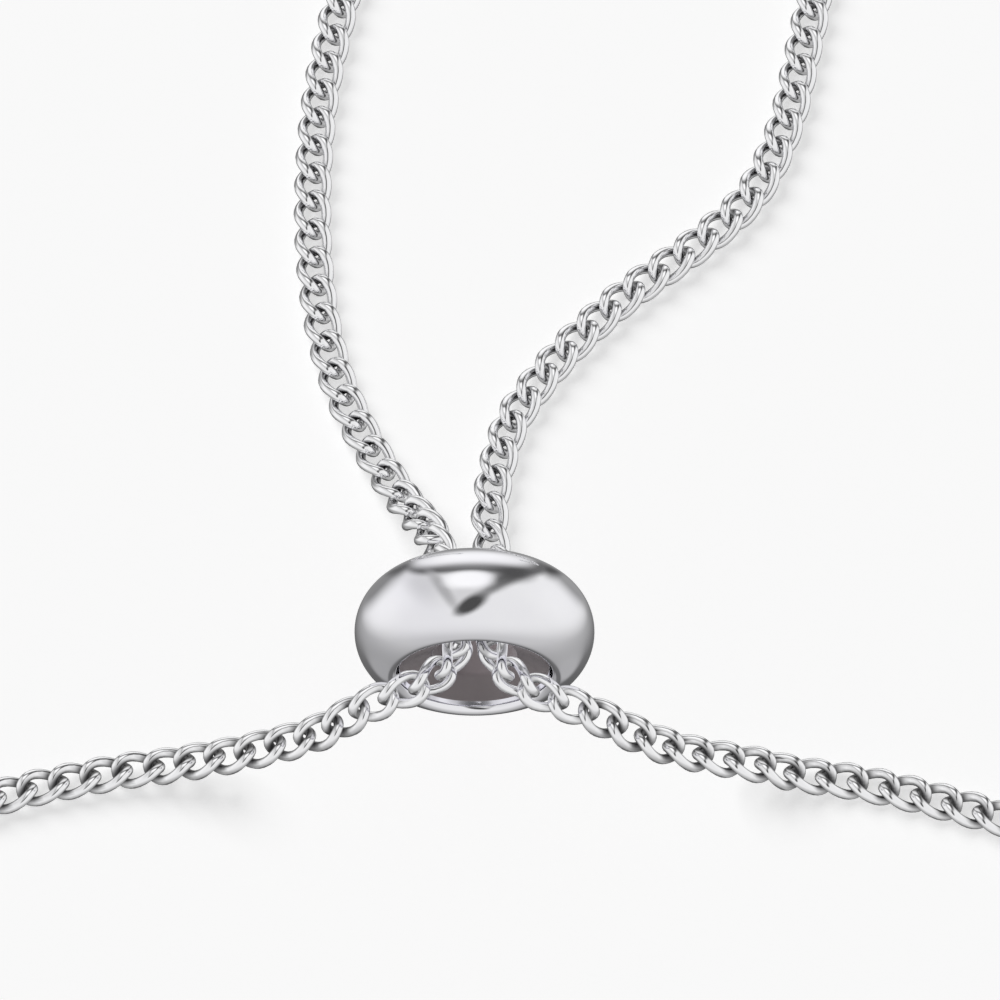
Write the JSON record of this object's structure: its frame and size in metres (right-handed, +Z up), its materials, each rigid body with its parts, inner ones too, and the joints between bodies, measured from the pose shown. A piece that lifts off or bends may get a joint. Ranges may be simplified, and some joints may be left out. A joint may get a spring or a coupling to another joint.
{
  "type": "slider chain bracelet",
  "caption": "Fine curb chain bracelet, a wrist loop whose two ends pass through one polished oblate slider bead with a soft stopper, and trail off as tails with small stop balls.",
  "frame": {"origin": "middle of the wrist loop, on the flat surface that the bracelet lies on", "axes": "+Y from the middle of the loop to the slider bead and the tails, +Z up from the surface, +X to the right as seen from above with the bead at the top"},
  "size_m": [0.0644, 0.0767, 0.008],
  "materials": {
    "silver": "polished sterling silver",
    "silicone": "satin moulded silicone"
  },
  "bodies": {
    "root": {"slider_shell": "silver", "slider_stopper": "silicone", "chain": "silver", "chain_back": "silver", "tail_end_left": "silver", "tail_end_right": "silver"}
  },
  "joints": []
}
